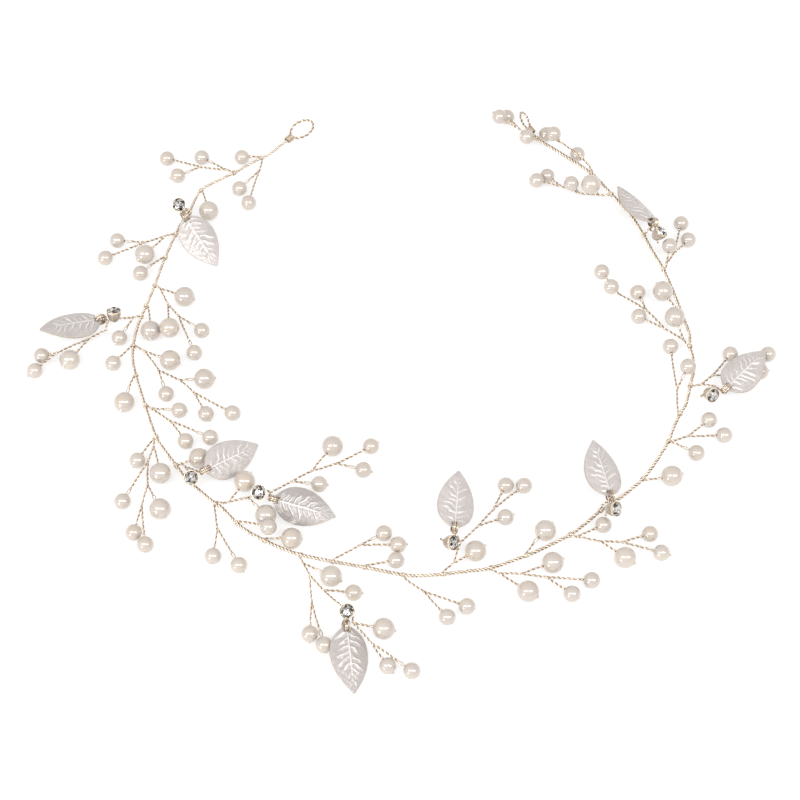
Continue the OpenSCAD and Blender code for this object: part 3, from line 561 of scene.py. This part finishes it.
def stone_crystal():
    """Clear foil-backed crystal: the grey that each facet takes through the tint is a painted reflection.
    """
    f = Finish("stone_crystal")
    facet_painted_reflection = f.tint()
    flaw = f.cloud(900.0, 2.0, 0.5)
    # The tint's grey, stirred a little by the noise, is the facets' painted reflection.
    colour = f.node("ShaderNodeValToRGB", {"stops": [
        (0.0, (0.03, 0.026, 0.023)), (0.28, (0.17, 0.155, 0.145)), (0.5, (0.56, 0.52, 0.49)),
        (1.0, (0.98, 0.965, 0.95))]},
        facet_painted_reflection + (flaw - 0.5) * 0.10)
    foil = f.body(Base_Color=colour, Metallic=0.85, Roughness=0.10, Coat_Weight=0.4, Coat_Roughness=0.01,
                  Coat_IOR=1.6)
    clear = f.node("ShaderNodeBsdfGlass", {}, (1.0, 1.0, 1.0), 0.0, 1.58)
    return f.done(f.node("ShaderNodeMixShader", {}, 0.12 + flaw * 0.06, foil, clear))


def paper_floor():
    """White studio sweep that glows a little, so the shadows on it stay as pale as in the photo."""
    f = Finish("studio_sweep")
    tooth = f.cloud(40.0, 2.0, 0.5)
    colour = f.mixed(tooth, (0.40, 0.40, 0.40), (0.42, 0.42, 0.42))
    return f.done(f.body(Base_Color=colour, Roughness=0.9, Emission_Color=(1.0, 1.0, 1.0),
                         Emission_Strength=0.58))


# Stem and end loops.
def make_stem(finish):
    """Three wires laid round each other from end to end."""
    piece = Piece("stem_wires")
    path = rounded([stem_at(k) for k in range(len(ROUTE))], 0.45)
    twisted(piece, path, STEM_WIRES, STEM_LAY, STEM_WIRE_R, STEM_PITCH, phase=0.4, sides=8,
            tints=(1.0, 0.66, 0.86), spread=lambda share: 0.74 + 0.4 * min(1, 2.4 * share))
    piece.make([finish], ["stem"])


def make_end_loop(name, node, k, out, frame_at, size, finish):
    """Loop of doubled wire, with the turns of its tails bound round the stem's end."""
    piece = Piece(name)
    long, wide = size
    path = [frame_at @ Vector((long / 2 * math.cos(a), wide / 2 * math.sin(a), 0))
            for a in (2 * math.pi * n / LOOP_POINTS for n in range(LOOP_POINTS))]
    frames = frames_along(path, closed=True)
    for s in range(2):
        lay = []
        for n, (at, (_, side, up)) in enumerate(zip(path, frames)):
            a = 2 * math.pi * (LOOP_TURNS * n / LOOP_POINTS + s / 2)
            lay.append(at + LOOP_D / 4 * (math.cos(a) * side + math.sin(a) * up))
        strand(piece, lay, LOOP_D / 4, 8, closed=True, tint=0.6 + 0.4 * s, core=path)
    middle = stem_at(k) + (SLEEVE_PAST - SLEEVE_L / 2) * out
    wound(piece, middle, out, *SLEEVE_COIL, phase=0.6, sides=8, steps=20, tint=0.5)
    # The inner turns get a low tint: painted shade under the sleeve.
    wound(piece, middle + 0.1 * out, out, *UNDER_COIL, phase=2.2, sides=6, steps=16, tint=0.1)
    piece.make([finish], [node])


def make_end_loops(finish):
    last = len(ROUTE) - 1
    out = -stem_dir(0)
    flat = Matrix.Rotation(math.atan2(out.y, out.x), 4, "Z")
    middle = stem_at(0) + (LOOP_PAST + LOOP_LEFT[0] / 2) * out
    make_end_loop("left_loop_wire", "end_loop_left", 0, out, Matrix.Translation(middle) @ flat, LOOP_LEFT,
                  finish)
    out = stem_dir(last)
    rise = 0.2 * LOOP_RIGHT[1]
    reach = LOOP_PAST + LOOP_RIGHT[0] / 2 * math.sqrt(1 - (2 * rise / LOOP_RIGHT[1]) ** 2)
    on_edge = Matrix.Rotation(math.atan2(out.y, out.x), 4, "Z") @ Matrix.Rotation(math.pi / 2, 4, "X")
    middle = stem_at(last) + reach * out + Vector((0, 0, rise))
    make_end_loop("right_loop_wire", "end_loop_right", last, out, Matrix.Translation(middle) @ on_edge,
                  LOOP_RIGHT, finish)


# Twigs.
def bowed(a, b, bow):
    """Points from a to b with a slight bow, as bent by hand."""
    way = b - a
    count = max(3, round(way.length / 0.26))
    side = way.cross(Vector((0, 0, 1)))
    side = side.normalized() if side.length > 1e-6 else Vector((1, 0, 0))
    return [a.lerp(b, n / count) + side * (bow * math.sin(math.pi * n / count)) for n in range(count + 1)]


def lay_pair(piece, a, b, draw, bow=None):
    """The two wires of a twig, laid round each other from a to b."""
    bow = draw.uniform(-0.16, 0.16) * min(1, (b - a).length / 8) if bow is None else bow
    twisted(piece, bowed(a, b, bow), 2, TWIG_LAY, TWIG_WIRE_R, TWIG_PITCH, phase=draw.uniform(0, 6.28),
            tints=(draw.uniform(0.9, 1.0), draw.uniform(0.55, 0.75)))


def lay_eye(piece, a, b):
    """The pair opens to two legs before the pearl and closes again at its mouth."""
    way = (b - a).normalized()
    side = way.cross(Vector((0, 0, 1))).normalized()
    for sign in (-1, 1):
        spread = [EYE_SHUT + (EYE_OPEN - EYE_SHUT) * math.sin(math.pi * (n / 10) ** 0.8) for n in range(11)]
        places = [a.lerp(b, n / 10) + side * sign * out for n, out in enumerate(spread)]
        # A fixed low tint darkens the legs as painted shade, a little deeper on one leg.
        strand(piece, places, EYE_WIRE_R, taper=True, tint=0.34 + 0.2 * (sign > 0))


def drop(piece, a, b, r):
    """Drop of lacquer that closes the bead over the wire's end."""
    way = (b - a).normalized()
    shares = ((0, 1.0), (0.2, 0.86), (0.4, 0.64), (0.6, 0.45), (0.8, 0.28), (0.93, 0.16), (1, 0.05))
    frame_at, length, around, points = upright(a, way), (b - a).length, 12, []
    for t, wide in shares:
        points += [frame_at @ Vector((r * wide * math.cos(c), r * wide * math.sin(c), t * length))
                   for c in (2 * math.pi * j / around for j in range(around))]
    faces = []
    for k in range(0, (len(shares) - 1) * around, around):
        for j in range(around):
            n = (j + 1) % around
            faces.append((k + j, k + n, k + around + n, k + around + j))
    faces.append(tuple((len(shares) - 1) * around + j for j in range(around)))
    piece.add(points, faces, 1, 0.4)


def lay_row(piece, q, i, draw):
    """One row of a twig, with what the wire does at its pearl, cup, tie or fork."""
    start, at, end = start_at(q, i), row_at(q, i), TWIGS[q][1][i][4]
    way = row_dir(q, i)
    if TWIGS[q][1][i][0] < 0:
        foot = stem_at(TWIGS[q][0])
        start = foot + TWIG_START * across(row_at(q, i) - foot, stem_dir(TWIGS[q][0])).normalized()
    if end in PEARL_R:
        mouth = math.sqrt(PEARL_R[end] ** 2 - HOLE_D**2 / 4)
        near, far = at - knot_at(end) * way, at + knot_at(end) * way
        room = (near - start).length
        if room > EYE_ROOM and draw.random() < EYE_SHARE:
            split = near - EYE_L * way
            lay_pair(piece, start, split, draw)
            lay_eye(piece, split - 0.1 * way, at - (mouth - DROP_IN) * way)
            wound(piece, split, way, *EYE_COIL, draw.uniform(0, 6), steps=10)
        else:
            lay_pair(piece, start, at - (mouth - PAIR_IN) * way, draw)
            wound(piece, near + 0.06 * way, way, *PEARL_COIL, draw.uniform(0, 6), steps=10)
        proud = draw.random() < (0.8 if end == "large" else 0.4)
        tip, r = (0.14, 0.32 * PEARL_R[end]) if proud else (-0.2, 0.22 * PEARL_R[end])
        drop(piece, at + (mouth - DROP_IN) * way, far + tip * way, r)
    elif end == "cup":
        run = cup_dir(q, i)
        near = at - CUP_OUT * run
        lay_pair(piece, start, near, draw)
        lay_pair(piece, near, near + 2 * CUP_OUT * run, draw, bow=0)
        wound(piece, near, run, *CUP_COIL_NEAR, draw.uniform(0, 6), steps=10)
        wound(piece, near + 2 * CUP_OUT * run, run, *CUP_COIL_FAR, draw.uniform(0, 6), steps=10)
    else:
        lay_pair(piece, start, at, draw)
        wound(piece, at - 0.1 * way, way, *FORK_COIL, draw.uniform(0, 6), steps=10)


def lay_tie(piece, n, draw):
    """Separate turns of wire through the slot and round the leaf's base, bound across at the twig."""
    frame_at = leaf_place(n) @ Matrix.Rotation(math.pi / 2, 4, "X")
    for t in range(TIE_WIRES):
        lean, r = math.radians(draw.uniform(-9, 9)), TIE_R + draw.uniform(-0.16, 0.12)
        shift = Matrix.Translation((0, 0, (t - (TIE_WIRES - 1) / 2) * TIE_SPACING))
        turn = frame_at @ shift @ Matrix.Rotation(lean, 4, "X")
        ring = [2 * math.pi * k / TIE_POINTS for k in range(TIE_POINTS)]
        path = [turn @ Vector((r * math.cos(a), r * math.sin(a), 0)) for a in ring]
        core = [turn @ Vector((0, 0, 0))] * TIE_POINTS
        strand(piece, path, TIE_WIRE_R, 7, closed=True, tint=draw.uniform(0.3, 0.95), core=core)
    axis = facing(LEAVES[n][2], LEAVES[n][3])
    bound = row_at(LEAVES[n][0], LEAVES[n][1]) + 0.35 * axis
    wound(piece, bound, axis, *TIE_COIL, draw.uniform(0, 6), steps=14, tint=0.6)


def lay_twig(piece, q):
    """A whole twig, bound round the stem at its foot."""
    draw = random.Random(100 + q)
    foot, way = stem_at(TWIGS[q][0]), stem_dir(TWIGS[q][0])
    wound(piece, foot, way, *FOOT_COIL, draw.uniform(0, 6), sides=7, steps=18, tint=0.95)
    for i in range(len(TWIGS[q][1])):
        lay_row(piece, q, i, draw)
    for n, leaf in enumerate(LEAVES):
        if leaf[0] == q:
            lay_tie(piece, n, draw)


def make_twigs(finish, lacquer):
    for q in range(len(SPRIGS)):
        piece = Piece(f"sprig_wire_{q + 1:02d}")
        lay_twig(piece, q)
        piece.make([finish, lacquer], [f"sprig_{q + 1:02d}"])
    piece = Piece("single_twig_wires")
    for q in range(len(SPRIGS), len(TWIGS)):
        lay_twig(piece, q)
    piece.make([finish, lacquer], ["single_twigs"])


# Pearls.
def make_pearls(size, finish):
    """Drilled beads, each a little out of round and with its own shade of cream."""
    piece = Piece(f"{size}_beads")
    draw = random.Random(len(size))
    r, around, rings = PEARL_R[size], 40, 24
    lip = math.asin(HOLE_D / 2 / r)
    for q, (_, rows) in enumerate(TWIGS):
        for i, row in enumerate(rows):
            if row[4] != size:
                continue
            frame_at = upright(row_at(q, i), row_dir(q, i))
            flat, shade, turn = draw.uniform(0.985, 1.0), draw.random(), draw.uniform(0, 6)
            points = []
            for k in range(rings):
                a = lip + (math.pi - 2 * lip) * k / (rings - 1)
                edge = 0.965 if k in (0, rings - 1) else 1.0
                for j in range(around):
                    b = 2 * math.pi * j / around + turn
                    out = r * flat * math.sin(a) * (1 - 0.006 * math.cos(2 * b))
                    at = Vector((out * math.cos(b), out * math.sin(b), r * edge * math.cos(a)))
                    points.append(frame_at @ at)
            faces = []
            for k in range(rings):
                a, b = k * around, (k + 1) % rings * around
                for j in range(around):
                    i2 = (j + 1) % around
                    faces.append((a + j, b + j, b + i2, a + i2))
            piece.add(points, faces, 0, shade)
    piece.make([finish], [f"pearls_{size}"])


# Leaves.
def outline_at(u):
    """Half width of a leaf at a share of its length, as a share of the widest."""
    for (a, low), (b, high) in zip(LEAF_OUTLINE, LEAF_OUTLINE[1:]):
        if u <= b:
            t = (u - a) / (b - a)
            return low + (high - low) * t
    return LEAF_OUTLINE[-1][1]


def leaf_point(p, v, upper, n):
    """One point of a leaf's sheet, with its vein's height and how near the edge it is."""
    half = LEAF_W / 2 * sum(outline_at(min(1, max(0, p + d))) for d in (-0.02, 0, 0.02)) / 3
    tooth = 1 - 0.016 * (0.5 + 0.5 * math.sin(2 * math.pi * p * 34)) * max(0, abs(v) - 0.85) * 6.6
    # Which side vein is nearest, and how far off: they sweep to the tip, the two sides not quite alike.
    line = (p - 0.05) * (VEINS + 3) - 2.6 * abs(v) ** 0.8 * (0.35 + p) * (1 - 0.4 * p)
    line += 0.4 if v > 0 else 0
    line += 0.24 * math.sin(11 * p + 2.1 * n + (3 if v > 0 else 0)) + 0.1 * math.sin(23 * p + 9 * v + n)
    off, which = (line - round(line)) * 2, round(line)
    # How far out that vein runs, its ridge and the groove beside it.
    reach = 0.68 + 0.22 * math.sin(4.7 * which + 1.9 * n + (2 if v > 0 else 0))
    side = math.exp(-((off / (0.26 + 0.12 * abs(v))) ** 2)) - 0.5 * math.exp(-(((off + 0.62) / 0.3) ** 2))
    side *= max(0, 1 - (abs(v) / reach) ** 3)
    # Finer veins between, and the hammered ground.
    fine = (2 * line + 0.3 * math.sin(31 * p + 5 * v + 2 * n) + 0.5) % 1 - 0.5
    side += 0.5 * math.exp(-((fine / 0.15) ** 2)) * max(0, 0.8 - (abs(v) / 0.85) ** 2)
    side *= min(1, 9 * p, 5 * (1 - p)) * (1 - 0.75 * math.exp(-((v / 0.1) ** 2)))
    side += 0.14 * math.sin(37 * p + 9 * v + n) * math.sin(19 * v - 13 * p) * min(1, 4 * abs(v))
    # The midrib over all of them, then the edge and the sag of the sheet.
    rib = max(1.1 * math.exp(-((v / 0.05) ** 2)) * min(1, 2.5 * (1 - p)), min(1, side))
    edge = max(0, (abs(v) - 0.9) / 0.1)
    sag = -LEAF_SAG * v * v * (2 * half / LEAF_W) ** 2 - 0.03 * LEAF_L * p**3
    z = sag + (VEIN_H * rib * (1 - 0.6 * edge) if upper else -LEAF_T * (1 - 0.4 * v * v))
    return Vector((p * LEAF_L, v * half * tooth, z)), rib, edge


def make_leaf(n, finish):
    """Two-sided sheet with the slot that its tie goes through."""
    piece = Piece(f"embossed_leaf_{n + 1}")
    rows, across_v = 136, [math.sin(math.pi / 2 * k / 18) * 0.35 + 0.65 * k / 18 for k in range(-18, 19)]
    slot_w = (TIE_TURNS - 1) * WRAP_PITCH * TWIG_D + TWIG_D + 2 * TIE_GAP
    slot_end = TIE_R + TWIG_D / 2 + TIE_GAP
    slot_start = math.sqrt(TIE_R**2 - LEAF_T**2) - TWIG_D / 2 - TIE_GAP
    frame_at = leaf_place(n)
    width = len(across_v)
    points, crowns, edges, flat = [], [], [], []
    for upper in (True, False):
        for k in range(rows + 1):
            for v in across_v:
                at, crown, edge = leaf_point(k / rows, v, upper, n)
                flat.append(at)
                points.append(frame_at @ at)
                crowns.append(crown if upper else 0.25 * crown)
                edges.append(edge)
    low = (rows + 1) * width

    def cut(k, j):
        if not (0 <= k < rows and 0 <= j < width - 1):
            return False
        middle = (flat[k * width + j] + flat[(k + 1) * width + j + 1]) / 2
        return slot_start < middle.x < slot_end and abs(middle.y) < slot_w / 2

    faces = []
    for k in range(rows):
        for j in range(width - 1):
            a, b, c, d = k * width + j, k * width + j + 1, (k + 1) * width + j + 1, (k + 1) * width + j
            if not cut(k, j):
                faces += [(a, d, c, b), (low + a, low + b, low + c, low + d)]
                continue
            beside = ((k - 1, j), (k, j + 1), (k + 1, j), (k, j - 1))
            for (s, t), place in zip(((a, b), (b, c), (c, d), (d, a)), beside):
                if not cut(*place):
                    faces.append((s, t, low + t, low + s))
    ring = list(range(width)) + [k * width + width - 1 for k in range(1, rows + 1)]
    ring += [rows * width + j for j in range(width - 2, -1, -1)]
    ring += [k * width for k in range(rows - 1, 0, -1)]
    for s, t in zip(ring, ring[1:] + ring[:1]):
        faces.append((t, s, low + s, low + t))
    piece.add(points, faces, 0, LEAF_SILVER_SHADE[n])
    made = piece.make([finish], [f"leaf_{n + 1}"])
    for name, values in (("crown", crowns), ("edge", edges)):
        made.data.attributes.new(name, "FLOAT", "POINT").data.foreach_set("value", values)
    sides = bmesh.new()
    sides.from_mesh(made.data)
    bmesh.ops.recalc_face_normals(sides, faces=sides.faces)
    sides.to_mesh(made.data)
    sides.free()
    made.data.update()


# Cups and stones.
def make_cup(c, enamel, gold):
    """Rounded bowl with a thin gilt rim round the stone."""
    q, i = CUPS[c][:2]
    piece = Piece(f"bowl_cup_{c + 1}")
    frame_at = upright(row_at(q, i), cup_face(q, i)) @ Matrix.Translation((0, 0, -CUP_DRILL_Z))
    outer = [(bowl_r(z * CUP_H), z * CUP_H) for z in [(k / 22) ** 1.7 for k in range(23)]]
    inner_r = GIRDLE_R + STONE_GAP
    profile = [(0.001, 0.0)] + [(max(0.001, r), z) for r, z in outer]
    gilt_from = len(profile) - 1
    rim_middle, rim_half = (RIM_R + inner_r) / 2, (RIM_R - inner_r) / 2
    for k in range(1, 7):
        a = math.pi * k / 6
        profile.append((rim_middle + rim_half * math.cos(a), CUP_H + 0.05 * math.sin(a)))
    gilt_to = len(profile)
    profile += [(inner_r, CUP_H - 0.12), (0.001, CUP_H - PAVILION_H - 2 * STONE_GAP)]
    around, points, faces = 56, [], []
    for r, z in profile:
        points += [frame_at @ Vector((r * math.cos(a), r * math.sin(a), z))
                   for a in (2 * math.pi * j / around for j in range(around))]
    for k in range(len(profile) - 1):
        for j in range(around):
            i2 = (j + 1) % around
            faces.append((k * around + j, k * around + i2, (k + 1) * around + i2, (k + 1) * around + j))
    piece.add(points, faces)
    piece.finish_of = [1 if gilt_from - 2 <= k // around < gilt_to else 0 for k in range(len(faces))]
    piece.make([enamel, gold], [f"cup_{c + 1}"])


def make_stone(c, finish):
    """Brilliant with table, stars, kites and girdle facets, and the pavilion's facets under the table; each
    facet's tint is its painted reflection.
    """
    q, i = CUPS[c][:2]
    piece = Piece(f"cut_stone_{c + 1}")
    draw = random.Random(40 + c)
    frame_at = upright(row_at(q, i), cup_face(q, i)) @ Matrix.Translation((0, 0, CUP_H - CUP_DRILL_Z))
    frame_at = frame_at @ Matrix.Rotation(draw.uniform(0, 6.28), 4, "Z")

    def ring(count, r, z, start=0.0):
        return [Vector((r * math.cos(a), r * math.sin(a), z))
                for a in (2 * math.pi * (j + start) / count for j in range(count))]

    table = ring(8, TABLE_SHARE * GIRDLE_R, CROWN_H)
    middle = ring(8, 0.30 * GIRDLE_R, CROWN_H, 0.5)
    middle = [p - Vector((0, 0, 0.1 if j % 2 else 0.3)) for j, p in enumerate(middle)]
    star = ring(8, 0.8 * GIRDLE_R, 0.55 * CROWN_H, 0.5)
    girdle = ring(16, GIRDLE_R, 0.0)
    main = ring(8, 0.45 * GIRDLE_R, -0.55 * PAVILION_H, 0.5)
    tip, top = Vector((0, 0, -PAVILION_H)), Vector((0.05, 0.03, CROWN_H - 0.24))

    # Painted reflection: each facet gets a grey, set per facet or drawn at random.
    def facet(*corners, bright=None):
        if bright is None:
            bright = draw.choice((0.0, 0.25, 0.5, 0.75, 0.95, 1.0))
        else:
            bright += draw.uniform(-0.2, 0.2)
        piece.add([frame_at @ p for p in corners], [tuple(range(len(corners)))], 0, min(1, max(0, bright)))

    for j in range(8):
        n, g, h, e = (j + 1) % 8, girdle[2 * j], girdle[(2 * j + 2) % 16], girdle[2 * j + 1]
        facet(top, middle[j - 1], table[j], middle[j], bright=(1.1, 0.3, 0.9, 0.75)[j % 4])
        facet(middle[j], table[j], table[n])
        facet(table[j], star[j], table[n], bright=0.9 if j % 3 == 0 else 0.25)
        facet(table[j], g, star[j], bright=0.1 if j % 2 else 0.55)
        facet(table[n], star[j], h, bright=0.45 if j % 2 else 0.05)
        facet(star[j], g, e)
        facet(star[j], e, h)
        facet(main[j], e, g)
        facet(main[j], h, e)
        facet(main[j], main[n], h)
        facet(main[n], main[j], tip)
    piece.make([finish], [f"stone_{c + 1}"], smooth=False)


# Studio: pale floor, two long softboxes overhead, a round one low at the left, and the camera.
def softbox(name, at, look, size, power, shape="RECTANGLE"):
    light = bpy.data.lights.new(name, "AREA")
    light.shape, light.energy = shape, power
    light.size, light.size_y = size
    lamp = bpy.data.objects.new(name, light)
    lamp.location = at
    lamp.rotation_euler = (Vector(look) - Vector(at)).to_track_quat("-Z", "Y").to_euler()
    bpy.context.scene.collection.objects.link(lamp)


def make_studio():
    floor = bpy.data.meshes.new("studio_floor")
    floor.from_pydata([(-4, -4, 0), (4, -4, 0), (4, 4, 0), (-4, 4, 0)], [], [(0, 1, 2, 3)])
    floor.materials.append(paper_floor())
    made = bpy.data.objects.new("studio_floor", floor)
    bpy.context.scene.collection.objects.link(made)
    softbox("overhead_left", (-0.72, -0.47, 1.05), (-0.72, -0.1, 0), (1.2, 0.32), 7.5)
    softbox("overhead_right", (0.72, -0.47, 1.05), (0.72, -0.1, 0), (1.2, 0.32), 7.5)
    softbox("low_left", (-0.72, -0.74, 0.26), (0, 0, 0), (0.27, 0.27), 2.6, "DISK")
    world = bpy.data.worlds.new("studio_air")
    bpy.context.scene.world = world
    world.use_nodes = True
    world.node_tree.nodes["Background"].inputs["Color"].default_value = (0.95, 0.945, 0.94, 1)
    world.node_tree.nodes["Background"].inputs["Strength"].default_value = 0.9
    camera = bpy.data.cameras.new("photo_camera")
    camera.lens, camera.sensor_width = 83.79, 36.0
    camera.clip_start, camera.clip_end = 0.01, 20
    stand = bpy.data.objects.new("photo_camera", camera)
    stand.location = (-0.00075, -0.2545, 0.42945)
    stand.rotation_euler = (math.radians(30), 0, 0)
    bpy.context.scene.collection.objects.link(stand)
    bpy.context.scene.camera = stand
    bpy.context.scene.view_settings.view_transform = "Standard"


make_studio()
stem_gilt = gold_wire("stem_gilt", (0.27, 0.185, 0.13), (0.97, 0.86, 0.72), 0.30)
twig_gilt = gold_wire("twig_gilt", (0.31, 0.205, 0.135), (0.97, 0.86, 0.71), 0.28)
rim_gilt = gold_wire("rim_gilt", (0.86, 0.74, 0.56), (0.93, 0.84, 0.69), 0.22)
make_stem(stem_gilt)
make_end_loops(twig_gilt)
lacquer = pearl_lacquer()
make_twigs(twig_gilt, lacquer)
for size in PEARL_R:
    make_pearls(size, lacquer)
satin = leaf_satin()
for n in range(len(LEAVES)):
    make_leaf(n, satin)
enamel, crystal = cup_enamel(), stone_crystal()
for c in range(len(CUPS)):
    make_cup(c, enamel, rim_gilt)
    make_stone(c, crystal)
